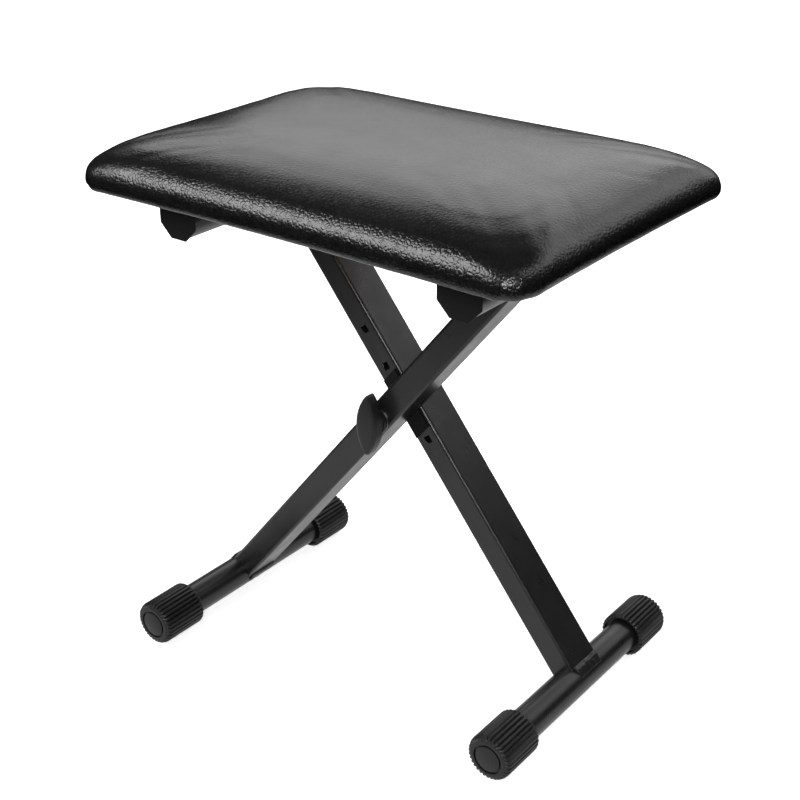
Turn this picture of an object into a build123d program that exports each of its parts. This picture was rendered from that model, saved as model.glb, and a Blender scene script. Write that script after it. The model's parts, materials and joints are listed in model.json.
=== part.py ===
# Folding musician's stool: a padded seat on two crossed steel legs.
# Millimetres. Origin on the floor under the middle of the seat, +Z up,
# +X along the seat's long side, -Y towards the side with the knob.
# The rear leg runs from the left crossbar down to the right foot,
# and the front leg runs the other way, side by side with it.

import math
import os

from build123d import *

# Driving dimensions: stance
foot_half_span = 182.0          # middle of the stool to a foot tube's axis
crossbar_half_span = 144.0      # middle of the stool to a crossbar's axis
crossbar_height = 428.0         # floor to a crossbar's axis
front_leg_y = -12.0             # middle plane of the front leg
leg_gap = 3.0                   # free space between the two legs
front_foot_y = -13.0            # middle of the front leg's foot tube
rear_foot_y = 18.0              # middle of the rear leg's foot tube
folded_angle = 8.0              # slope of a folded leg under the seat, degrees

# Driving dimensions: seat
seat_length = 450.0
seat_depth = 319.0
seat_corner = 36.0              # corner radius seen from above
corner_pull = 60.0              # added corner radius where the cover pulls the corners down
side_draw = 2.0                 # how far a side is drawn in between its corners
least_corner = 6.0              # corner radius kept on the crown
crossbar_drop = 22.7            # underside of the seat board to a crossbar's axis
pad_height = 47.0               # underside of the cover to the crown
under_roll = 7.5                # radius where the cover is pulled under
fullness = 2.9                  # exponent of the domed section: 2 is an ellipse, more is fuller
under_steps = 2
dome_steps = 8
cover_wall = 1.2
hem_clearance = 3.5             # turned-under cover to the nearest saddle
board_thickness = 12.0
board_margin = 1.5              # board's edge inside the drawn-under edge of the pad

# Driving dimensions: tubes
leg_width = 25.0                # across the leg, in the plane of its swing
leg_depth = 40.0                # along Y
leg_corner = 3.0
tube_wall = 1.5
foot_tube_diameter = 30.0
crossbar_diameter = 35.0
foot_length = 272.0             # over both rubber caps
weld_leg = 3.0                  # width of a weld bead

# Driving dimensions: rubber caps
cap_across_lands = 42.6
cap_length = 48.0
cap_end_wall = 4.0
cap_nose = 4.5                  # rounding of the closed end
cap_lip = 1.5                   # rounding of the open end
cap_mouth_step = 3.4            # radial step of the recess round the tube
cap_mouth_depth = 4.0
flute_count = 32
flute_width = 2.5
flute_depth = 0.9
nose_steps = 2
ring_radius = 13.2              # ring groove in the end face
ring_width = 1.4
ring_depth = 0.8

# Driving dimensions: saddles that carry the crossbars
saddle_wall = 2.2
saddle_clearance = 0.3
saddle_inset = 43.5             # front or rear edge of the seat to a saddle
saddle_leg_clearance = 5.0      # legs to the saddles beside them
saddle_flange = 17.0
saddle_bend = 1.5
screw_shank = 5.0
screw_grip = 9.0                # depth of a screw in the board
screw_head = 8.0                # across the flats of the hexagon
screw_head_height = 3.5
plug_flange = 2.0
plug_depth = 14.0
plug_wall = 2.0

# Driving dimensions: bolt, pad and knob at the crossing
hole_pitch = 38.0
hole_steps = (2, 1, 0, -1)      # square holes, counted up the leg from the bolt
square_hole = 7.0
bolt_diameter = 6.6
bolt_head = 17.0
bolt_head_height = 3.8
bolt_rim = 0.8
bolt_slope = 0.55               # share of the head's radius that slopes
stud_diameter = 8.0
stud_clearance = 0.1
stud_in_knob = 13.0
pad_across = 58.0               # length of the spacer pad across the front leg
pad_thickness = 2.4
washer_diameter = 24.0
washer_thickness = 1.6
knob_gap = 0.2
knob_hub = 25.0
knob_hub_length = 4.5
wing_length = 60.0              # over the sharp tips, before they are rounded
wing_tip = 2.5
wing_width = 22.0
wing_depth = 11.5
wing_rounding = 3.0
wing_steps = 2

# Driving dimensions: staples under the hem
staple_width = 10.0
staple_wire = 1.0
staple_place = 0.65             # share of the hem's width, from the seat's outline
long_staple_count = 9
short_staple_count = 6

# Worked out from the driving dimensions
foot_height = cap_across_lands / 2
rear_leg_y = front_leg_y + leg_depth + leg_gap
leg_run = foot_half_span + crossbar_half_span
leg_rise = crossbar_height - foot_height
leg_angle = math.degrees(math.atan2(leg_rise, leg_run))
leg_length = math.hypot(leg_run, leg_rise)
crossing_height = foot_height + foot_half_span * math.tan(math.radians(leg_angle))
board_bottom = crossbar_height + crossbar_drop
seat_bottom = board_bottom - cover_wall
saddle_bore = crossbar_diameter / 2 + saddle_clearance
saddle_outside = saddle_bore + saddle_wall
saddle_reach = crossbar_half_span + saddle_outside + saddle_flange
saddle_outer_end = seat_depth / 2 - saddle_inset
saddle_length = saddle_outer_end - (rear_leg_y + leg_depth / 2) - saddle_leg_clearance
hem_width = min(seat_length / 2 - saddle_reach, saddle_inset) - hem_clearance
staple_inset = staple_place * hem_width
crossbar_length = 2 * (saddle_outer_end - plug_flange)
foot_tube_length = foot_length - 2 * cap_end_wall
front_leg_face = front_leg_y - leg_depth / 2
rear_leg_face = rear_leg_y - leg_depth / 2

os.makedirs("parts", exist_ok=True)


def save(shape, node):
    export_step(shape, f"parts/{node}.step")


def cylinder_along_y(diameter, start, end, x=0.0, z=0.0):
    middle = Pos(x, (start + end) / 2, z) * Rot(90, 0, 0)
    return middle * Cylinder(diameter / 2, end - start)


def tube_along_y(diameter, wall, start, end, x, z):
    outside = cylinder_along_y(diameter, start, end, x, z)
    return outside - cylinder_along_y(diameter - 2 * wall, start, end, x, z)


# Seat pad
def pad_outline(grow, pull=0.0):
    # Rounded rectangle whose sides bow in, made of eight tangent arcs.
    half_x = seat_length / 2 + grow
    half_y = seat_depth / 2 + grow
    corner = max(seat_corner + grow + pull, least_corner)
    centre = (half_x - corner, half_y - corner)

    def touch_offset(reach):
        bow = (reach ** 2 + side_draw ** 2) / (2 * side_draw)
        return corner * reach / bow, corner * (bow - side_draw) / bow

    back_x, rise_y = touch_offset(centre[0])
    back_y, rise_x = touch_offset(centre[1])
    on_long = (centre[0] - back_x, centre[1] + rise_y)
    on_short = (centre[0] + rise_x, centre[1] - back_y)
    diagonal = corner / math.sqrt(2)
    on_corner = (centre[0] + diagonal, centre[1] + diagonal)
    arcs = []
    for sx, sy in ((1, 1), (-1, 1), (-1, -1), (1, -1)):
        arcs.append(ThreePointArc(*[(sx * x, sy * y) for x, y in (on_long, on_corner, on_short)]))
    for side in (1, -1):
        y = side * on_long[1]
        dip = side * (half_y - side_draw)
        arcs.append(ThreePointArc((-on_long[0], y), (0, dip), (on_long[0], y)))
        x = side * on_short[0]
        dip = side * (half_x - side_draw)
        arcs.append(ThreePointArc((x, -on_short[1]), (dip, 0), (x, on_short[1])))
    return make_face(Wire(arcs))


def pad_block(grow):
    # Loft through outlines that follow the drawn-under edge, then the domed side and top.
    base = seat_bottom - grow
    levels = []
    for i in range(under_steps + 1):
        turn = math.radians(90 * i / under_steps)
        levels.append((under_roll * (1 - math.sin(turn)), under_roll * (1 - math.cos(turn)), 0.0))
    dome_run = seat_depth / 2
    dome_rise = pad_height - under_roll
    for i in range(1, dome_steps):
        turn = math.radians(90 * i / dome_steps)
        reach = (math.cos(turn) ** fullness + math.sin(turn) ** fullness) ** (-1 / fullness)
        share = reach * math.sin(turn)
        inset = dome_run * (1 - reach * math.cos(turn))
        levels.append((inset, under_roll + dome_rise * share, corner_pull * share ** 2))
    outlines = []
    for inset, rise, pull in levels:
        lift = rise * (1 + 2 * grow / pad_height)
        outlines.append(Pos(0, 0, base + lift) * pad_outline(grow - inset, pull))
    return loft(outlines, ruled=True)


pad_outside = pad_block(0.0)
pad_inside = pad_block(-cover_wall)
hem_opening = Pos(0, 0, seat_bottom - cover_wall) * extrude(pad_outline(-hem_width), amount=3 * cover_wall)
board_block = extrude(pad_outline(-cover_wall - under_roll - board_margin), amount=board_thickness)
board_block = Pos(0, 0, board_bottom) * board_block
seat_cover = pad_outside - pad_inside - hem_opening
seat_foam = pad_inside - board_block
save(seat_cover, "seat_cover")
save(seat_foam, "seat_foam")


# Staples that hold the hem: bare crowns lying against it
def staple(x, y, turn):
    crown_wire = Box(staple_width, staple_wire, staple_wire)
    return Pos(x, y, seat_bottom - staple_wire / 2) * Rot(0, 0, turn) * crown_wire


def spread(count, reach):
    return [reach * (2 * i / (count - 1) - 1) for i in range(count)]


staple_x = seat_length / 2 - staple_inset
staple_y = seat_depth / 2 - staple_inset
staples = []
for side in (-1, 1):
    for x in spread(long_staple_count, staple_x - seat_corner):
        staples.append(staple(x, side * staple_y, 0))
    for y in spread(short_staple_count, staple_y - seat_corner):
        staples.append(staple(side * staple_x, y, 90))
save(Compound(children=staples), "cover_staples")

# Saddles, their screws and the board they are screwed to
saddle_mid = saddle_outer_end - saddle_length / 2
saddle_places = {
    "saddle_left_front": (-crossbar_half_span, -saddle_mid),
    "saddle_left_rear": (-crossbar_half_span, saddle_mid),
    "saddle_right_front": (crossbar_half_span, -saddle_mid),
    "saddle_right_rear": (crossbar_half_span, saddle_mid),
}
screw_reach = saddle_outside + saddle_flange / 2
screw_offsets = (-screw_reach, screw_reach)


def u_profile(radius, top):
    return Circle(radius) + Pos(0, top / 2) * Rectangle(2 * radius, top)


def saddle():
    # U channel with two flanges, its profile in X and Z about the crossbar's axis.
    top = crossbar_drop
    flange_width = 2 * (saddle_outside + saddle_flange)
    flange = Pos(0, top - saddle_wall / 2) * Rectangle(flange_width, saddle_wall)
    profile = u_profile(saddle_outside, top) + flange - u_profile(saddle_bore, top + saddle_wall)
    inner_corners = profile.vertices().group_by(Axis.Y)[-2].sort_by(Axis.X)[1:-1]
    profile = fillet(inner_corners, saddle_bend)
    body = Rot(90, 0, 0) * extrude(profile, amount=saddle_length / 2, both=True)
    for x in screw_offsets:
        body -= Pos(x, 0, top) * Cylinder(screw_shank / 2, 4 * saddle_wall)
    return body


def saddle_screw():
    # Hexagon-headed wood screw, its head under the flange and its shank in the board.
    head = extrude(RegularPolygon(screw_head / 2, 6, major_radius=False), amount=-screw_head_height)
    length = saddle_wall + screw_grip
    return head + Cylinder(screw_shank / 2, length, align=(Align.CENTER, Align.CENTER, Align.MIN))


saddle_solid = saddle()
screw_solid = saddle_screw()
screws = []
pilots = []
for node, (x, y) in saddle_places.items():
    save(Pos(x, y, crossbar_height) * saddle_solid, node)
    for dx in screw_offsets:
        screws.append(Pos(x + dx, y, board_bottom - saddle_wall) * screw_solid)
        pilot = Cylinder(screw_shank / 2, screw_grip, align=(Align.CENTER, Align.CENTER, Align.MIN))
        pilots.append(Pos(x + dx, y, board_bottom) * pilot)
save(Compound(children=screws), "saddle_screws")
save(board_block - pilots, "seat_board")


# Rubber caps
def fluted_face(shrink):
    # Flat lands with a V-shaped flute between each pair, one land straight down.
    step = 360.0 / flute_count
    apothem = cap_across_lands / 2 - shrink
    half_land = step / 2 - math.degrees(math.asin(flute_width / cap_across_lands))
    land_radius = apothem / math.cos(math.radians(half_land))
    valley_radius = apothem - flute_depth

    def polar(radius, angle):
        return (radius * math.cos(math.radians(angle)), radius * math.sin(math.radians(angle)))

    corners = []
    for i in range(flute_count):
        land = -90.0 + i * step
        corners.append(polar(land_radius, land - half_land))
        corners.append(polar(land_radius, land + half_land))
        corners.append(polar(valley_radius, land + step / 2))
    return make_face(Polyline(corners, close=True))


def foot_cap():
    # Closed end at the origin, open end along +Z, later turned to lie along Y.
    sections = []
    for i in range(nose_steps + 1):
        turn = math.radians(90 * i / nose_steps)
        nose_height = cap_nose * (1 - math.cos(turn))
        sections.append(Pos(0, 0, nose_height) * fluted_face(cap_nose * (1 - math.sin(turn))))
    sections.append(Pos(0, 0, cap_length - cap_lip) * fluted_face(0.0))
    sections.append(Pos(0, 0, cap_length) * fluted_face(cap_lip))
    body = loft(sections, ruled=True)
    bottom_up = (Align.CENTER, Align.CENTER, Align.MIN)
    body -= Pos(0, 0, cap_end_wall) * Cylinder(foot_tube_diameter / 2, cap_length, align=bottom_up)
    mouth = Cylinder(foot_tube_diameter / 2 + cap_mouth_step, cap_mouth_depth + cap_lip, align=bottom_up)
    body -= Pos(0, 0, cap_length - cap_mouth_depth) * mouth
    ring = Cylinder(ring_radius + ring_width / 2, ring_depth, align=bottom_up)
    ring -= Cylinder(ring_radius - ring_width / 2, ring_depth, align=bottom_up)
    return body - ring


cap_solid = foot_cap()


# Legs
def leg_bar(x_top, y, section):
    # Straight bar of a section between the crossbar's and the foot's axes.
    turn = math.copysign(90 + leg_angle, -x_top)
    return Pos(x_top, y, crossbar_height) * Rot(0, turn, 0) * extrude(section, amount=leg_length)


def bolt_place(x_top, step, y):
    # A point on the leg's middle line, counted up the leg from the crossing.
    lean = -math.copysign(1.0, x_top)
    along = step * hole_pitch
    x = -lean * along * math.cos(math.radians(leg_angle))
    z = crossing_height + along * math.sin(math.radians(leg_angle))
    return Pos(x, y, z) * Rot(0, lean * leg_angle, 0)


def build_leg(name, x_top, leg_y, foot_y):
    x_foot = -math.copysign(foot_half_span, x_top)
    half_bar = crossbar_length / 2
    foot_front = foot_y - foot_tube_length / 2
    foot_back = foot_y + foot_tube_length / 2
    crossbar = tube_along_y(crossbar_diameter, tube_wall, -half_bar, half_bar, x_top, crossbar_height)
    foot = tube_along_y(foot_tube_diameter, tube_wall, foot_front, foot_back, x_foot, foot_height)
    solid_bar = cylinder_along_y(crossbar_diameter, -half_bar, half_bar, x_top, crossbar_height)
    solid_foot = cylinder_along_y(foot_tube_diameter, foot_front, foot_back, x_foot, foot_height)
    outside = RectangleRounded(leg_width, leg_depth, leg_corner)
    inside = RectangleRounded(leg_width - 2 * tube_wall, leg_depth - 2 * tube_wall, leg_corner - tube_wall)
    tube = leg_bar(x_top, leg_y, outside - inside) - solid_bar - solid_foot
    save(crossbar, f"{name}_crossbar")
    save(foot, f"{name}_foot_tube")

    # Weld beads: they follow the round tube along the two wide sides of the leg.
    bead_length = leg_depth - 2 * leg_corner
    wide = Rectangle(leg_width + 2 * weld_leg, bead_length) - Rectangle(leg_width, bead_length)
    beads = leg_bar(x_top, leg_y, wide)
    for node, diameter, x, z in (("crossbar_weld", crossbar_diameter, x_top, crossbar_height),
                                 ("foot_weld", foot_tube_diameter, x_foot, foot_height)):
        shell = tube_along_y(diameter + 2 * weld_leg, weld_leg, leg_y - leg_depth, leg_y + leg_depth, x, z)
        save(beads & shell, f"{name}_{node}")

    # Plugs in the crossbar and caps on the foot tube, at both ends.
    plugs = []
    for side in (-1, 1):
        end = side * half_bar
        disc = cylinder_along_y(crossbar_diameter, 0, plug_flange)
        bore = crossbar_diameter - 2 * tube_wall
        sleeve = tube_along_y(bore, plug_wall, -plug_depth, 0, 0, 0)
        plug = Rot(0, 0, 0 if side > 0 else 180) * (disc + sleeve)
        plugs.append(Pos(x_top, end, crossbar_height) * plug)
    save(Compound(children=plugs), f"{name}_crossbar_plugs")
    front = Pos(x_foot, foot_y - foot_length / 2, foot_height) * Rot(-90, 0, 0) * Rot(0, 0, 180) * cap_solid
    back = Pos(x_foot, foot_y + foot_length / 2, foot_height) * Rot(90, 0, 0) * cap_solid
    save(front, f"{name}_front_cap")
    save(back, f"{name}_back_cap")
    return tube


rear_tube = build_leg("rear_leg", -crossbar_half_span, rear_leg_y, rear_foot_y)
for step in hole_steps:
    punch = Box(square_hole, 2 * leg_depth, square_hole)
    rear_tube -= bolt_place(-crossbar_half_span, step, rear_leg_y) * punch
save(rear_tube, "rear_leg_tube")

front_tube = build_leg("front_leg", crossbar_half_span, front_leg_y, front_foot_y)
stud_bore = stud_diameter + 2 * stud_clearance
front_back = front_leg_y + leg_depth / 2
front_tube -= cylinder_along_y(stud_bore, front_leg_face, front_back, 0, crossing_height)
save(front_tube, "front_leg_tube")

# Carriage bolt through the rear leg: domed head behind it, square neck in its hole
def domed_head():
    # Low cone-edged head, its rim at the origin and its crown along +Y.
    blank = cylinder_along_y(bolt_head, 0, bolt_head_height)
    slope_run = bolt_head / 2 * bolt_slope
    return chamfer(blank.edges().sort_by(Axis.Y)[-1], bolt_head_height - bolt_rim, slope_run)


rear_back = rear_leg_y + leg_depth / 2
neck_length = 2 * tube_wall
neck = Rot(0, leg_angle, 0) * Box(square_hole, neck_length, square_hole)
neck = Pos(0, rear_back - neck_length / 2, 0) * neck
shank = cylinder_along_y(bolt_diameter, rear_leg_face, rear_back)
cross_bolt = Pos(0, 0, crossing_height) * (Pos(0, rear_back, 0) * domed_head() + neck + shank)
save(cross_bolt, "cross_bolt")

# Spacer pad on the front of the rear leg, its ends cut in line with the front leg
pad_end = rear_leg_face - pad_thickness
along_rear = Rot(0, 0, -leg_angle) * Rectangle(2 * pad_across, leg_width - 2 * leg_corner)
along_front = Rot(0, 0, leg_angle) * Rectangle(2 * pad_across, pad_across)
spacer = Rot(90, 0, 0) * extrude(along_rear & along_front, amount=pad_thickness)
spacer = Pos(0, rear_leg_face, crossing_height) * spacer
spacer -= cylinder_along_y(stud_bore, pad_end, rear_leg_face, 0, crossing_height)
save(spacer, "spacer_pad")

# Washer, wing knob and the stud moulded into it
washer_face = front_leg_face - washer_thickness
washer = cylinder_along_y(washer_diameter, washer_face, front_leg_face, 0, crossing_height)
washer -= cylinder_along_y(stud_bore, washer_face, front_leg_face, 0, crossing_height)
save(washer, "knob_washer")


def wing_knob():
    # Round hub at the origin, lens-shaped wing in front of it, along -Y.
    half_wide = wing_width / 2
    bow = ((wing_length / 2) ** 2 - half_wide ** 2) / (2 * half_wide)

    def lens(shrink):
        side = Circle(bow + half_wide - shrink)
        sharp = (Pos(bow, 0) * side) & (Pos(-bow, 0) * side)
        return fillet(sharp.vertices(), wing_tip)

    sections = [lens(0.0)]
    for i in range(wing_steps + 1):
        turn = math.radians(90 * i / wing_steps)
        height = wing_depth - wing_rounding * (1 - math.sin(turn))
        sections.append(Pos(0, 0, height) * lens(wing_rounding * (1 - math.cos(turn))))
    wing = Rot(90, 0, 0) * loft(sections, ruled=True)
    hub = cylinder_along_y(knob_hub, -knob_hub_length, 0)
    return hub + Pos(0, -knob_hub_length, 0) * wing


knob_back = washer_face - knob_gap
stud_start = knob_back - stud_in_knob
stud = cylinder_along_y(stud_diameter, stud_start, front_back, 0, crossing_height)
knob = Pos(0, knob_back, crossing_height) * wing_knob()
save(knob - stud, "knob_wing")
save(stud, "knob_stud")

# Summary of the stance
print(f"leg angle {leg_angle:.3f} deg, leg length {leg_length:.2f}, crossing at {crossing_height:.2f}")
print(f"fold range {leg_angle - folded_angle:.3f} deg")
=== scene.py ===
import json
import math
import bpy
import numpy as np
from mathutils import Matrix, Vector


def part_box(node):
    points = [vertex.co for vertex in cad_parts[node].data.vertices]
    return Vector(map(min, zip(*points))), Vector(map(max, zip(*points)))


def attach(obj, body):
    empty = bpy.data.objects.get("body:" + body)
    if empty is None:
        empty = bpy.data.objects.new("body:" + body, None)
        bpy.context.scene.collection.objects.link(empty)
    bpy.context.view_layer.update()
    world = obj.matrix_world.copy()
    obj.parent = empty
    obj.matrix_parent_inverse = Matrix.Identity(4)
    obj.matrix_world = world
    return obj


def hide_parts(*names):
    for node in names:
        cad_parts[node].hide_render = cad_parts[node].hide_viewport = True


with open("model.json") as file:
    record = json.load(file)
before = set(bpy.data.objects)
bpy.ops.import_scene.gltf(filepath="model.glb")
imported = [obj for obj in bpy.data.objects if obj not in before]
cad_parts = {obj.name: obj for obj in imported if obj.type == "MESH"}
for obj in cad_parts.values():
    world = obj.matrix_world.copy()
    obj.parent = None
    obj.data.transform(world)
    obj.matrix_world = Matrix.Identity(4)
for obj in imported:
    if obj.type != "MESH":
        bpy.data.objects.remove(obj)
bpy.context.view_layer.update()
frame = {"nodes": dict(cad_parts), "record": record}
nodes = frame["nodes"]
scene = bpy.context.scene
legs = ("rear_leg", "front_leg")
smoothAngle = math.radians(40)    # edges that turn more than this stay sharp
noiseRange = (0.3, 0.7)    # most of a noise texture lies between these


# small helpers
def pick(*objs):
    for other in bpy.context.selected_objects:
        other.select_set(False)
    for obj in objs:
        obj.select_set(True)
    bpy.context.view_layer.objects.active = objs[-1]


def copyOf(name, *sources):
    # one new mesh from copies of CAD nodes
    copies = []
    for source in sources:
        twin = bpy.data.objects.new(name, nodes[source].data.copy())
        scene.collection.objects.link(twin)
        copies.append(twin)
    pick(*copies)
    if len(copies) > 1:
        bpy.ops.object.join()
    whole = bpy.context.view_layer.objects.active
    whole.name = name
    whole.data.materials.clear()
    bpy.ops.object.mode_set(mode="EDIT")
    bpy.ops.mesh.select_all(action="SELECT")
    bpy.ops.mesh.remove_doubles(threshold=0.00001)    # CAD meshes come as loose triangles
    bpy.ops.object.mode_set(mode="OBJECT")
    return whole


def modify(obj, kind, **settings):
    pick(obj)
    modifier = obj.modifiers.new(kind.title(), kind)
    for key, value in settings.items():
        setattr(modifier, key, value)
    bpy.ops.object.modifier_apply(modifier=modifier.name)


def points(obj):
    flat = np.empty(3 * len(obj.data.vertices))
    obj.data.vertices.foreach_get("co", flat)
    return flat.reshape(-1, 3)


def selectPoints(obj, chosen):
    # leaves the object in edit mode with these points selected
    pick(obj)
    bpy.ops.object.mode_set(mode="EDIT")
    bpy.ops.mesh.select_mode(type="VERT")
    bpy.ops.mesh.select_all(action="DESELECT")
    bpy.ops.object.mode_set(mode="OBJECT")
    obj.data.vertices.foreach_set("select", chosen)
    bpy.ops.object.mode_set(mode="EDIT")


def fade(values, start, length):
    return np.clip((values - start) / length, 0, 1)


def paint(obj, name, weights):
    # vertex group from one weight per vertex, in even steps
    steps = 100
    group = obj.vertex_groups.new(name=name)
    levels = np.round(np.clip(weights, 0, 1) * steps).astype(int)
    for level in range(1, steps + 1):
        found = np.nonzero(levels == level)[0].tolist()
        if found:
            group.add(found, level / steps, "REPLACE")
    return name


# shader helpers
def newGroup(name, inputs, outputs):
    group = bpy.data.node_groups.new(name, "ShaderNodeTree")
    for label, kind, value in inputs:
        socket = group.interface.new_socket(label, in_out="INPUT", socket_type=kind)
        if value is not None:
            socket.default_value = value
    for label, kind in outputs:
        group.interface.new_socket(label, in_out="OUTPUT", socket_type=kind)
    return group, group.nodes.new("NodeGroupInput"), group.nodes.new("NodeGroupOutput")


def feed(tree, socket, value):
    if isinstance(value, bpy.types.NodeSocket):
        tree.links.new(value, socket)
    else:
        socket.default_value = value


def addNode(tree, kind, settings=None, **sockets):
    # a key such as n0 is a socket's number, any other key is its name
    node = tree.nodes.new("ShaderNode" + kind)
    for key, value in (settings or {}).items():
        setattr(node, key, value)
    for key, value in sockets.items():
        numbered = key[0] == "n" and key[1:].isdigit()
        feed(tree, node.inputs[int(key[1:]) if numbered else key], value)
    return node


def math1(tree, operation, a, b=0.0, clamp=False):
    return addNode(tree, "Math", {"operation": operation, "use_clamp": clamp}, n0=a, n1=b).outputs[0]


def ramp(tree, value, low, high, toLow, toHigh):
    node = addNode(tree, "MapRange", None, Value=value)
    for label, number in (("From Min", low), ("From Max", high), ("To Min", toLow), ("To Max", toHigh)):
        node.inputs[label].default_value = number
    return node.outputs[0]


def noise(tree, vector, scale, detail=4.0, rough=0.55):
    node = addNode(tree, "TexNoise", None, Vector=vector, Scale=scale, Detail=detail, Roughness=rough)
    return node.outputs[0]


def mixColor(tree, factor, a, b, blend="MIX"):
    node = addNode(tree, "Mix", {"data_type": "RGBA", "blend_type": blend})
    for index, value in ((0, factor), (6, a), (7, b)):    # the sockets of a colour mix
        feed(tree, node.inputs[index], value)
    return node.outputs[2]


def upFacing(tree):
    # 1 on faces that look straight up, -1 on those that look down
    normal = addNode(tree, "NewGeometry").outputs["Normal"]
    return addNode(tree, "SeparateXYZ", None, n0=normal).outputs[2]


def makeDust():
    # thin dust in soft patches, more of it on faces that look up
    settings = {"color": (0.22, 0.215, 0.205, 1), "patchScale": 24.0, "patch": (0.42, 0.72),
                "speckScale": 900.0, "speck": (0.62, 0.78), "speckShare": 0.8,
                "facing": (-0.2, 1.0), "sheltered": 0.25, "rougher": 0.5}
    group, gin, gout = newGroup("dustFilm", [
        ("Vector", "NodeSocketVector", None), ("Color", "NodeSocketColor", (0.02, 0.02, 0.02, 1)),
        ("Roughness", "NodeSocketFloat", 0.4), ("Amount", "NodeSocketFloat", 0.3),
    ], [("Color", "NodeSocketColor"), ("Roughness", "NodeSocketFloat")])
    place = gin.outputs["Vector"]
    patches = ramp(group, noise(group, place, settings["patchScale"], 6.0), *settings["patch"], 0.0, 1.0)
    speckNoise = noise(group, place, settings["speckScale"], 2.0)
    specks = ramp(group, speckNoise, *settings["speck"], 0.0, settings["speckShare"])
    upward = ramp(group, upFacing(group), *settings["facing"], settings["sheltered"], 1.0)
    film = math1(group, "MULTIPLY", math1(group, "ADD", patches, specks), upward, True)
    film = math1(group, "MULTIPLY", film, gin.outputs["Amount"])
    color = mixColor(group, film, gin.outputs["Color"], settings["color"])
    rougher = math1(group, "MULTIPLY", film, settings["rougher"])
    rough = math1(group, "ADD", gin.outputs["Roughness"], rougher, True)
    group.links.new(color, gout.inputs["Color"])
    group.links.new(rough, gout.inputs["Roughness"])
    return group


def makePebble():
    # pressed leather grain: low pebbles of uneven outline with thin creases between them, and a mask of the
    # creases for painted shade
    settings = {"warpScale": 150.0, "drift": 0.0025, "crease": 0.3, "fineScale": 1800.0, "fine": 0.12}
    group, gin, gout = newGroup("pebbleGrain", [
        ("Vector", "NodeSocketVector", None), ("Scale", "NodeSocketFloat", 300.0),
    ], [("Height", "NodeSocketFloat"), ("CreaseShade", "NodeSocketFloat")])
    place = gin.outputs["Vector"]
    warp = addNode(group, "TexNoise", None, Vector=place, Scale=settings["warpScale"], Detail=3.0)
    drift = addNode(group, "VectorMath", {"operation": "SCALE"}, n0=warp.outputs["Color"],
                    Scale=settings["drift"])
    moved = addNode(group, "VectorMath", {"operation": "ADD"}, n0=place, n1=drift.outputs[0])
    cells = addNode(group, "TexVoronoi", {"feature": "DISTANCE_TO_EDGE"}, Vector=moved.outputs[0],
                    Scale=gin.outputs["Scale"])
    pebble = ramp(group, cells.outputs["Distance"], 0.0, settings["crease"], 0.0, 1.0)
    fine = noise(group, place, settings["fineScale"], 2.0)
    height = math1(group, "ADD", pebble, math1(group, "MULTIPLY", fine, settings["fine"]))
    group.links.new(height, gout.inputs["Height"])
    # the second output marks the creases, where painted shade goes
    group.links.new(ramp(group, pebble, 0.0, 0.5, 1.0, 0.0), gout.inputs["CreaseShade"])
    return group


dustFilm = makeDust()
pebbleGrain = makePebble()


def newMaterial(name):
    material = bpy.data.materials.new(name)
    material.use_nodes = True
    tree = material.node_tree
    return material, tree, tree.nodes["Principled BSDF"], addNode(tree, "TexCoord").outputs["Object"]


def useGroup(tree, group, **sockets):
    node = tree.nodes.new("ShaderNodeGroup")
    node.node_tree = group
    for key, value in sockets.items():
        feed(tree, node.inputs[key], value)
    return node


def bump(tree, height, distance, strength, shader):
    node = addNode(tree, "Bump", None, Height=height, Distance=distance, Strength=strength)
    tree.links.new(node.outputs[0], shader.inputs["Normal"])


def coated(name, color, roughness, peel, peelScale, dust, specular=0.5):
    # black finishes and foam: a base colour, a fine surface texture and a film of dust
    settings = {"toneScale": 11.0, "tone": (0.82, 1.15), "glossScale": 55.0, "smoother": 0.04,
                "rougher": 0.05, "peelStrength": 0.6}
    material, tree, shader, place = newMaterial(name)
    tone = ramp(tree, noise(tree, place, settings["toneScale"], 5.0), *noiseRange, *settings["tone"])
    base = mixColor(tree, 1.0, (*color, 1), tone, "MULTIPLY")
    gloss = ramp(tree, noise(tree, place, settings["glossScale"], 6.0), *noiseRange,
                 roughness - settings["smoother"], roughness + settings["rougher"])
    film = useGroup(tree, dustFilm, Vector=place, Color=base, Roughness=gloss, Amount=dust)
    tree.links.new(film.outputs["Color"], shader.inputs["Base Color"])
    tree.links.new(film.outputs["Roughness"], shader.inputs["Roughness"])
    shader.inputs["Specular IOR Level"].default_value = specular
    bump(tree, noise(tree, place, peelScale, 3.0), peel, settings["peelStrength"], shader)
    return material


def makeLeather():
    # the crease colour is painted shade in the grain's creases
    settings = {"color": (0.0038, 0.0038, 0.0041, 1), "crease": (0.002, 0.002, 0.0022, 1),
                "grain": 300.0, "depth": 0.00026, "strength": 0.6, "stretched": 0.35,
                "flat": (0.75, 0.97), "glossScale": 30.0, "gloss": (0.22, 0.27), "dust": 0.004}
    material, tree, shader, place = newMaterial("leatherette")
    grain = useGroup(tree, pebbleGrain, Vector=place, Scale=settings["grain"])
    # creases painted darker than the pebbles: painted shade in the grain
    tone = mixColor(tree, grain.outputs["CreaseShade"], settings["color"], settings["crease"])
    gloss = ramp(tree, noise(tree, place, settings["glossScale"], 6.0), *noiseRange, *settings["gloss"])
    film = useGroup(tree, dustFilm, Vector=place, Color=tone, Roughness=gloss, Amount=settings["dust"])
    tree.links.new(film.outputs["Color"], shader.inputs["Base Color"])
    tree.links.new(film.outputs["Roughness"], shader.inputs["Roughness"])
    slack = ramp(tree, upFacing(tree), *settings["flat"], 1.0, settings["stretched"])    # flatter on top
    height = math1(tree, "MULTIPLY", grain.outputs["Height"], slack)
    bump(tree, height, settings["depth"], settings["strength"], shader)
    return material


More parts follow.
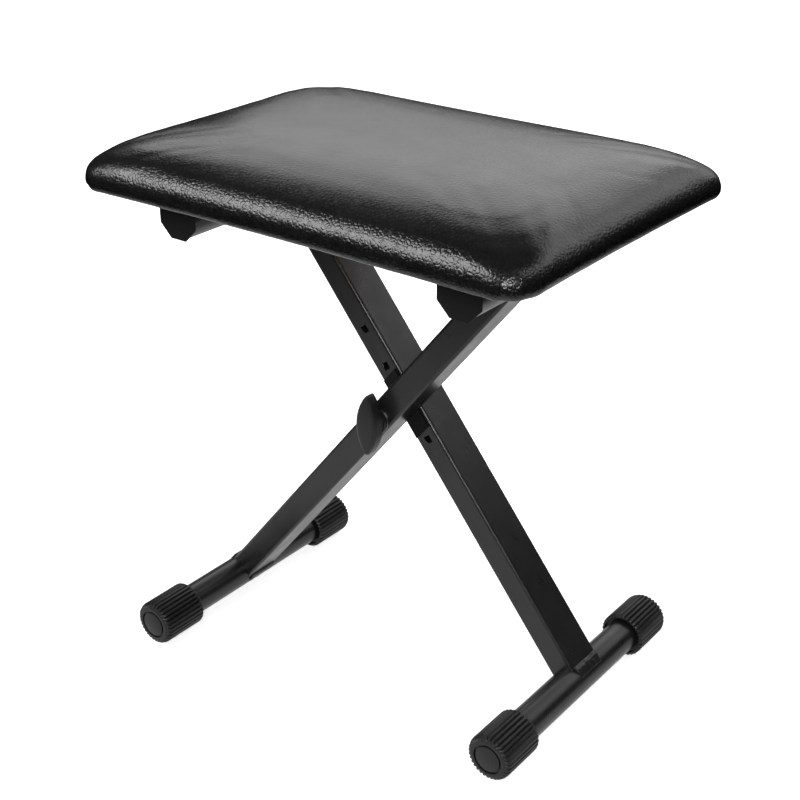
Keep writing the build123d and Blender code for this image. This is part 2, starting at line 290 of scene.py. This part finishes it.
def makeZinc():
    settings = {"dull": (0.36, 0.36, 0.37, 1), "bright": (0.52, 0.51, 0.49, 1), "cloudScale": 160.0,
                "roughness": (0.28, 0.46), "peelScale": 1400.0, "peel": 0.00004, "strength": 0.5}
    material, tree, shader, place = newMaterial("zincPlate")
    cloud = ramp(tree, noise(tree, place, settings["cloudScale"], 5.0), *noiseRange, 0.0, 1.0)
    color = mixColor(tree, cloud, settings["dull"], settings["bright"])
    tree.links.new(color, shader.inputs["Base Color"])
    tree.links.new(ramp(tree, cloud, 0.0, 1.0, *settings["roughness"]), shader.inputs["Roughness"])
    shader.inputs["Metallic"].default_value = 1.0
    peel = noise(tree, place, settings["peelScale"], 2.0)
    bump(tree, peel, settings["peel"], settings["strength"], shader)
    return material


def makePlywood():
    # long grain on the face and thin layers along the edge
    settings = {"pale": (0.66, 0.49, 0.30, 1), "dark": (0.50, 0.34, 0.19, 1), "glue": (0.30, 0.19, 0.10, 1),
                "stretch": 0.12, "grainScale": 120.0, "grain": (0.35, 0.68), "layers": 3140.0,
                "layerShare": 0.35, "roughness": (0.62, 0.78), "depth": 0.0003, "strength": 0.5}
    material, tree, shader, place = newMaterial("plywood")
    axes = addNode(tree, "SeparateXYZ", None, n0=place)
    along = math1(tree, "MULTIPLY", axes.outputs[0], settings["stretch"])
    stretched = addNode(tree, "CombineXYZ", None, n0=along, n1=axes.outputs[1], n2=axes.outputs[2])
    grain = noise(tree, stretched.outputs[0], settings["grainScale"], 8.0, 0.65)
    layers = math1(tree, "SINE", math1(tree, "MULTIPLY", axes.outputs[2], settings["layers"]))
    figure = ramp(tree, grain, *settings["grain"], 0.0, 1.0)
    face = mixColor(tree, figure, settings["dark"], settings["pale"])
    edge = ramp(tree, layers, -1.0, 1.0, 0.0, settings["layerShare"])
    tree.links.new(mixColor(tree, edge, face, settings["glue"]), shader.inputs["Base Color"])
    tree.links.new(ramp(tree, grain, *noiseRange, *settings["roughness"]), shader.inputs["Roughness"])
    bump(tree, grain, settings["depth"], settings["strength"], shader)
    return material


# coated(name, colour, roughness, depth and scale of the texture, dust, specular)
finishes = {
    "cover": makeLeather(),
    "frame": coated("powderCoat", (0.007, 0.007, 0.0073), 0.30, 0.00005, 1500.0, 0.02),
    "caps": coated("rubber", (0.004, 0.004, 0.0042), 0.42, 0.00006, 1100.0, 0.03, 0.42),
    "plugs": coated("plugPlastic", (0.009, 0.009, 0.009), 0.5, 0.00005, 2000.0, 0.05),
    # black plastic, made darker and duller than the frame as painted shade for the leg crossing and the
    # saddle ends under the seat
    "spacer": coated("paintedShadeSpacerPlastic", (0.003, 0.003, 0.003), 0.7, 0.00005, 2000.0, 0.01, 0.2),
    "knob": coated("knobPlastic", (0.008, 0.008, 0.0085), 0.42, 0.00007, 1700.0, 0.03, 0.4),
    "fixings": makeZinc(),
    "staples": makeZinc(),
    "board": makePlywood(),
    "foam": coated("foam", (0.62, 0.56, 0.40), 0.9, 0.0004, 700.0, 0.02, 0.2),
}
for part in frame["record"]["subparts"]:
    mesh = nodes[part["node"]].data
    mesh.materials.clear()
    mesh.materials.append(finishes[part["material_slot"]])
print("stage: materials")


# seat cushion
def makeCushion():
    # pairs named Zone are a start and a length, as shares of the pad's height
    settings = {"voxel": 0.005, "softness": 0.5, "rounds": 2, "upperRounds": 8, "upperZone": (0.15, 0.25),
                "hip": 0.09, "hipRounds": 70, "hipZone": (0.45, 0.25),
                "pressure": 4.0, "stiffness": 40, "frames": 20, "cap": 0.0025, "pinned": 0.006,
                "fill": 1.0065, "corner": 0.036, "roll": 0.010, "tight": 0.0022,
                "pleat": 0.0009, "pleatTurns": 12.0, "pleatFade": 0.22,
                "cornerPush": 0.0015, "cornerHeight": 0.35, "cornerFade": 0.4,
                "wrinkle": 0.0005, "wrinkleScale": 0.035, "wrinkleTop": 1.1,
                "hem": 0.040, "hemRise": 0.012, "hemWall": 0.0015}
    low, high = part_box("seat_cover")
    pad = copyOf("seatCushion", "seat_cover", "seat_foam", "seat_board")
    modify(pad, "REMESH", mode="VOXEL", voxel_size=settings["voxel"])
    soften(pad, settings, low, high)
    inflate(pad, settings, low)
    modify(pad, "SUBSURF", levels=1)
    pad.scale = (settings["fill"], settings["fill"], 1)    # back to the width that smoothing took
    bpy.ops.object.transform_apply(location=False, rotation=False, scale=True)
    drawEdges(pad, settings, low, high)
    openUnderside(pad, settings, low, high)
    pick(pad)
    bpy.ops.object.shade_smooth()
    pad.vertex_groups.clear()
    pad.data.materials.append(finishes["cover"])
    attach(pad, "seat")
    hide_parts("seat_cover", "seat_foam")


def soften(pad, settings, low, high):
    spot = points(pad)
    rise = (spot[:, 2] - low.z) / (high.z - low.z)
    upper = paint(pad, "upper", fade(rise, *settings["upperZone"]))    # the lower edge stays tight
    modify(pad, "SMOOTH", factor=settings["softness"], iterations=settings["rounds"])
    modify(pad, "SMOOTH", factor=settings["softness"], iterations=settings["upperRounds"], vertex_group=upper)
    inward = np.array([high.x, high.y]) - np.abs(spot[:, :2])
    offHip = fade(np.abs(inward[:, 0] - inward[:, 1]), 0, settings["hip"])
    hips = paint(pad, "hips", np.cos(math.pi / 2 * offHip) ** 2 * fade(rise, *settings["hipZone"]))
    modify(pad, "SMOOTH", factor=settings["softness"], iterations=settings["hipRounds"], vertex_group=hips,
           use_x=False, use_y=False)    # heights only, which softens the creases in from the corners
    pad.vertex_groups.clear()


def inflate(pad, settings, low):
    # air pressure tightens the cover over its filling; the hem stays put
    spot = points(pad)
    pinned = paint(pad, "hem", np.where(spot[:, 2] < low.z + settings["pinned"], 1.0, 0.0))
    pick(pad)
    cloth = pad.modifiers.new("Cloth", "CLOTH")
    cloth.settings.vertex_group_mass = pinned
    cloth.settings.use_pressure = True
    cloth.settings.uniform_pressure_force = settings["pressure"]
    cloth.settings.tension_stiffness = settings["stiffness"]
    cloth.settings.compression_stiffness = settings["stiffness"]
    cloth.settings.effector_weights.gravity = 0.0
    cloth.point_cache.frame_start = 1
    cloth.point_cache.frame_end = settings["frames"]
    for step in range(1, settings["frames"] + 1):
        scene.frame_set(step)
    bpy.ops.object.modifier_apply_as_shapekey(modifier="Cloth")
    blown = pad.data.shape_keys.key_blocks[-1]
    moved = np.empty(3 * len(pad.data.vertices))
    blown.data.foreach_get("co", moved)
    most = np.linalg.norm(moved.reshape(-1, 3) - spot, axis=1).max()
    blown.value = min(1.0, settings["cap"] / most)
    print("cushion: cloth moved", round(most * 1000, 2), "mm, kept share", round(blown.value, 3))
    bpy.context.view_layer.update()
    mixed = pad.evaluated_get(bpy.context.evaluated_depsgraph_get())
    pad.data = bpy.data.meshes.new_from_object(mixed)
    scene.frame_set(1)


def drawEdges(pad, settings, low, high):
    # sharper long edges, pleats under the corners, fuller corners, and soft wrinkles on the sides
    spot = points(pad)
    rise = (spot[:, 2] - low.z) / (high.z - low.z)
    reach = np.abs(spot[:, :2]) - (np.array([high.x, high.y]) - settings["corner"])
    outward = np.clip(reach, 0, None)
    away = np.hypot(*outward.T)
    across = np.clip((away - settings["corner"]) / settings["roll"] + 1, 0, 1)
    down = np.clip((low.z - spot[:, 2]) / settings["roll"] + 1, 0, 1)
    longSide = outward[:, 1] / np.maximum(away, 0.001)
    paint(pad, "edge", (2 * across * down * longSide) ** 2)
    modify(pad, "DISPLACE", vertex_group="edge", strength=settings["tight"], mid_level=0.0)
    onCorner = np.clip(reach / settings["corner"], 0, None)
    near = np.clip(2 * onCorner.prod(axis=1), 0, 1)
    angle = np.degrees(np.arctan2(onCorner[:, 1], onCorner[:, 0])) - 45.0
    folds = 0.5 + 0.5 * np.cos(np.radians(angle * settings["pleatTurns"]))
    paint(pad, "pleat", near * folds * np.exp(-(rise / settings["pleatFade"]) ** 2))
    modify(pad, "DISPLACE", vertex_group="pleat", strength=settings["pleat"], mid_level=0.0)
    fuller = np.exp(-((rise - settings["cornerHeight"]) / settings["cornerFade"]) ** 2)
    paint(pad, "corner", near * fuller)
    modify(pad, "DISPLACE", vertex_group="corner", strength=settings["cornerPush"], mid_level=0.0)
    cloud = bpy.data.textures.new("softWrinkle", "CLOUDS")
    cloud.noise_scale = settings["wrinkleScale"]
    paint(pad, "sides", np.clip(settings["wrinkleTop"] - rise, 0, 1))
    modify(pad, "DISPLACE", vertex_group="sides", strength=settings["wrinkle"], mid_level=0.5, texture=cloud)


def openUnderside(pad, settings, low, high):
    # the cover ends in a hem, so the board shows inside it
    half = np.array([high.x, high.y]) - settings["hem"]
    pick(pad)
    for face in pad.data.polygons:
        inside = abs(face.center.x) < half[0] and abs(face.center.y) < half[1]
        face.select = inside and face.center.z < low.z + settings["hemRise"]
    bpy.ops.object.mode_set(mode="EDIT")
    bpy.ops.mesh.delete(type="FACE")
    bpy.ops.mesh.select_all(action="DESELECT")
    bpy.ops.mesh.select_non_manifold()
    bpy.ops.mesh.extrude_region_move(TRANSFORM_OT_translate={"value": (0, 0, settings["hemWall"])})
    bpy.ops.object.mode_set(mode="OBJECT")


makeCushion()
print("stage: cushion")


# weld beads
def makeWeld(node, body):
    settings = {"voxel": 0.0009, "softness": 0.6, "rounds": 6, "ripple": 0.0011, "level": 0.45,
                "scale": 0.0035}
    bead = copyOf(node + "_bead", node)
    modify(bead, "REMESH", mode="VOXEL", voxel_size=settings["voxel"])
    modify(bead, "SMOOTH", factor=settings["softness"], iterations=settings["rounds"])
    ripple = bpy.data.textures.get("weldRipple") or bpy.data.textures.new("weldRipple", "CLOUDS")
    ripple.noise_scale = settings["scale"]
    modify(bead, "DISPLACE", strength=settings["ripple"], mid_level=settings["level"], texture=ripple)
    pick(bead)
    bpy.ops.object.shade_smooth()
    bead.data.materials.append(finishes["frame"])
    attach(bead, body)
    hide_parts(node)


for leg in legs:
    for place in ("foot", "crossbar"):
        makeWeld(f"{leg}_{place}_weld", leg)
print("stage: welds")


# tubes with smooth round corners
def makeTube(node, body):
    tube = copyOf(node + "_coat", node)
    bpy.ops.object.shade_smooth_by_angle(angle=smoothAngle)
    modify(tube, "WEIGHTED_NORMAL", keep_sharp=True)    # flat sides stay flat between their corners
    tube.data.materials.append(finishes["frame"])
    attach(tube, body)
    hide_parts(node)


for leg in legs:
    for place in ("tube", "foot_tube", "crossbar"):
        makeTube(f"{leg}_{place}", leg)
print("stage: tubes")


# eight-sided plates that close the outer ends of the saddles
def makeSaddleEnd(node):
    settings = {"sides": 8, "reach": 0.0203, "thick": 0.0014, "gap": 0.0001, "edge": 0.0004, "flange": 0.0024}
    low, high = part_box(node)
    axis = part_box("front_leg_crossbar" if "right" in node else "rear_leg_crossbar")
    center = (axis[0] + axis[1]) / 2
    side = -1 if "front" in node else 1
    outer = low.y if side < 0 else high.y
    top = high.z - settings["flange"]
    halfStep = math.pi / settings["sides"]    # turned by this, a flat side lies below
    place = (center.x, outer + side * (settings["thick"] / 2 + settings["gap"]), center.z)
    radius = settings["reach"] / math.cos(halfStep)
    bpy.ops.mesh.primitive_cylinder_add(vertices=settings["sides"], radius=radius, depth=settings["thick"],
                                        location=place, rotation=(math.pi / 2, halfStep, 0))
    plate = bpy.context.active_object
    plate.name = node + "_end"
    bpy.ops.object.transform_apply(location=True, rotation=True, scale=True)
    for corner in plate.data.vertices:
        if corner.co.z > center.z:
            corner.co.z = top    # the upper corners meet the flange
    modify(plate, "BEVEL", width=settings["edge"], segments=2, limit_method="ANGLE")
    bpy.ops.object.shade_smooth_by_angle(angle=smoothAngle)
    # the ends are black plastic, and the darker spacer finish is also painted shade for the seat's shadow
    # over them
    plate.data.materials.append(finishes["spacer"])
    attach(plate, "seat")


for node in ("saddle_left_front", "saddle_left_rear", "saddle_right_front", "saddle_right_rear"):
    makeSaddleEnd(node)
print("stage: saddle ends")


# rubber caps and knob
def crisp(obj, width, segments):
    settings = {"flat": math.radians(2), "sharp": math.radians(20)}
    pick(obj)
    bpy.ops.object.mode_set(mode="EDIT")
    bpy.ops.mesh.select_all(action="SELECT")
    bpy.ops.mesh.dissolve_limited(angle_limit=settings["flat"])    # flat faces back in one piece
    bpy.ops.object.mode_set(mode="OBJECT")
    modify(obj, "BEVEL", width=width, segments=segments, limit_method="ANGLE",
           angle_limit=settings["sharp"], use_clamp_overlap=True)
    bpy.ops.object.shade_smooth_by_angle(angle=smoothAngle)


def makeCap(node, body):
    settings = {"flutes": 32, "offValley": 0.4, "bore": 0.0152, "mouth": (0.0182, 0.0186), "nose": 0.0005,
                "deeper": 0.955, "rim": 1.05, "edge": 0.00025,
                "ring": (0.0122, 0.0144), "ringFloor": 0.0008, "ringSink": 0.0012, "ringInner": 0.95}
    low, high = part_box(node)
    axis = ((low.x + high.x) / 2, 0.0, (low.z + high.z) / 2)
    closed, inward = (low.y, 1) if "front_cap" in node else (high.y, -1)
    cap = copyOf(node + "_rubber", node)
    spot = points(cap) - axis
    radius = np.hypot(spot[:, 0], spot[:, 2])
    turn = np.degrees(np.arctan2(spot[:, 2], spot[:, 0])) + 90.0
    step = 360.0 / settings["flutes"]
    onMouth = (radius > settings["mouth"][0]) & (radius < settings["mouth"][1])
    valley = np.abs((turn % step) - step / 2) < settings["offValley"]    # degrees off a flute's middle
    valley &= (radius > settings["bore"]) & ~onMouth
    onFace = np.abs(spot[:, 1] - closed) < settings["nose"]
    selectPoints(cap, valley & ~onFace)    # flutes cut deeper than the plain solid
    bpy.ops.transform.resize(value=(settings["deeper"], 1, settings["deeper"]), center_override=axis)
    bpy.ops.object.mode_set(mode="OBJECT")
    selectPoints(cap, valley & onFace)    # they run out into a round rim at the closed end
    bpy.ops.transform.resize(value=(settings["rim"], 1, settings["rim"]), center_override=axis)
    bpy.ops.object.mode_set(mode="OBJECT")
    depth = (points(cap)[:, 1] - closed) * inward
    onRing = (radius > settings["ring"][0]) & (radius < settings["ring"][1])
    onRing &= depth < 2 * settings["ringFloor"]
    selectPoints(cap, onRing & (depth > settings["ringFloor"] / 2))    # ring groove in the end face
    bpy.ops.transform.translate(value=(0, inward * settings["ringSink"], 0))
    bpy.ops.object.mode_set(mode="OBJECT")
    selectPoints(cap, onRing & (radius < sum(settings["ring"]) / 2))
    bpy.ops.transform.resize(value=(settings["ringInner"], 1, settings["ringInner"]), center_override=axis)
    bpy.ops.object.mode_set(mode="OBJECT")
    crisp(cap, settings["edge"], 2)
    cap.data.materials.append(finishes["caps"])
    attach(cap, body)
    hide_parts(node)


def makeKnob():
    settings = {"edge": 0.0008}
    knob = copyOf("wingKnob", "knob_wing")
    crisp(knob, settings["edge"], 3)
    knob.data.materials.append(finishes["knob"])
    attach(knob, "knob")
    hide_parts("knob_wing")


for leg in legs:
    for end in ("front_cap", "back_cap"):
        makeCap(f"{leg}_{end}", leg)
makeKnob()
print("stage: caps and knob")


# camera, floor and light
def makeCamera():
    settings = {"azimuth": 37.353, "elevation": 25.9, "distance": 1.304236,
                "target": (0.0005, 0.0, 0.2556), "focalPixels": 1467.2, "pixels": 800.0, "sensor": 36.0}
    data = bpy.data.cameras.new("view")
    camera = bpy.data.objects.new("view", data)
    scene.collection.objects.link(camera)
    az, el = math.radians(settings["azimuth"]), math.radians(settings["elevation"])
    back = (math.sin(az) * math.cos(el), -math.cos(az) * math.cos(el), math.sin(el))
    camera.location = [t + settings["distance"] * b for t, b in zip(settings["target"], back)]
    camera.rotation_euler = (math.pi / 2 - el, 0, az)
    data.sensor_width = settings["sensor"]
    data.lens = settings["sensor"] * settings["focalPixels"] / settings["pixels"]
    scene.camera = camera


def makeFloor():
    settings = {"size": 14.0, "color": (0.86, 0.86, 0.86, 1), "roughness": 0.9,
                "near": 0.55, "far": 1.0, "shade": 0.7, "mirrored": 0.8}
    bpy.ops.mesh.primitive_plane_add(size=settings["size"], location=(0, 0, 0))
    floor = bpy.context.active_object
    floor.name = "floor"
    material, tree, shader, place = newMaterial("paleFloor")
    shader.inputs["Base Color"].default_value = settings["color"]
    shader.inputs["Roughness"].default_value = settings["roughness"]
    distance = addNode(tree, "VectorMath", {"operation": "LENGTH"}, n0=place).outputs["Value"]
    path = addNode(tree, "LightPath")
    white = ramp(tree, distance, settings["near"], 2 * settings["far"], settings["shade"], 1.0)
    # painted glow that only glossy rays see, strongest round the feet: painted reflections of a bright floor
    paintedGlossGlow = ramp(tree, distance, settings["near"], settings["far"], settings["mirrored"], 0.0)
    glow = addNode(tree, "Emission", None, Color=(1, 1, 1, 1), Strength=white)
    seen = addNode(tree, "AddShader", None, n0=shader.outputs[0], n1=glow.outputs[0])
    mirrored = addNode(tree, "Emission", None, Color=(1, 1, 1, 1), Strength=paintedGlossGlow)
    direct = addNode(tree, "MixShader", None, n0=path.outputs["Is Camera Ray"], n1=shader.outputs[0],
                     n2=seen.outputs[0])
    whole = addNode(tree, "MixShader", None, n0=path.outputs["Is Glossy Ray"], n1=direct.outputs[0],
                    n2=mirrored.outputs[0])    # glossy rays see only a painted glow round the feet, fading out within a metre, which paints reflections onto the frame and cushion
    tree.links.new(whole.outputs[0], tree.nodes["Material Output"].inputs["Surface"])
    floor.data.materials.append(material)


def makeLight(name, place, aim, size, watts, mirrored=True):
    data = bpy.data.lights.new(name, "AREA")
    data.shape = "RECTANGLE"
    data.size, data.size_y = size
    data.energy = watts
    lamp = bpy.data.objects.new(name, data)
    scene.collection.objects.link(lamp)
    lamp.location = place
    lamp.visible_glossy = mirrored
    direction = [a - p for a, p in zip(aim, place)]
    flat = math.hypot(direction[0], direction[1])
    tilt = math.pi / 2 - math.atan2(-direction[2], flat)
    turn = math.atan2(direction[1], direction[0]) - math.pi / 2
    lamp.rotation_euler = (tilt, 0, turn)


def makeWorld():
    settings = {"color": (0.9, 0.92, 0.95, 1), "strength": 0.03}
    world = bpy.data.worlds.new("studio")
    scene.world = world
    world.use_nodes = True
    tree = world.node_tree
    base = tree.nodes["Background"]
    base.inputs["Color"].default_value = settings["color"]
    base.inputs["Strength"].default_value = settings["strength"]
    white = addNode(tree, "Background", None, Color=(1, 1, 1, 1), Strength=1.0)
    seen = addNode(tree, "LightPath").outputs["Is Camera Ray"]
    choice = addNode(tree, "MixShader", None, n0=seen, n1=base.outputs[0], n2=white.outputs[0])
    tree.links.new(choice.outputs[0], tree.nodes["World Output"].inputs["Surface"])


makeCamera()
makeFloor()
makeWorld()
seat = (0, 0, 0.45)    # most lamps aim here
makeLight("keyLeft", (-1.5, -1.95, 2.05), seat, (2.2, 1.35), 80)
makeLight("backLow", (-0.74, 2.49, 1.10), seat, (3.2, 0.7), 6.1)
makeLight("backHigh", (-1.28, 1.90, 1.84), seat, (2.75, 1.1), 16.5)
makeLight("backRight", (0.95, 1.95, 1.85), seat, (2.0, 1.3), 11)
makeLight("rightTop", (1.46, 0.45, 2.41), seat, (1.6, 1.0), 10)
makeLight("frontFill", (1.35, -1.75, 1.4), (0, 0, 0.35), (0.7, 0.7), 30)
makeLight("overhead", (0.0, -0.2, 3.0), (0, 0, 0.0), (1.6, 1.6), 60, mirrored=False)
scene.view_settings.view_transform = "Standard"
print("stage: scene")
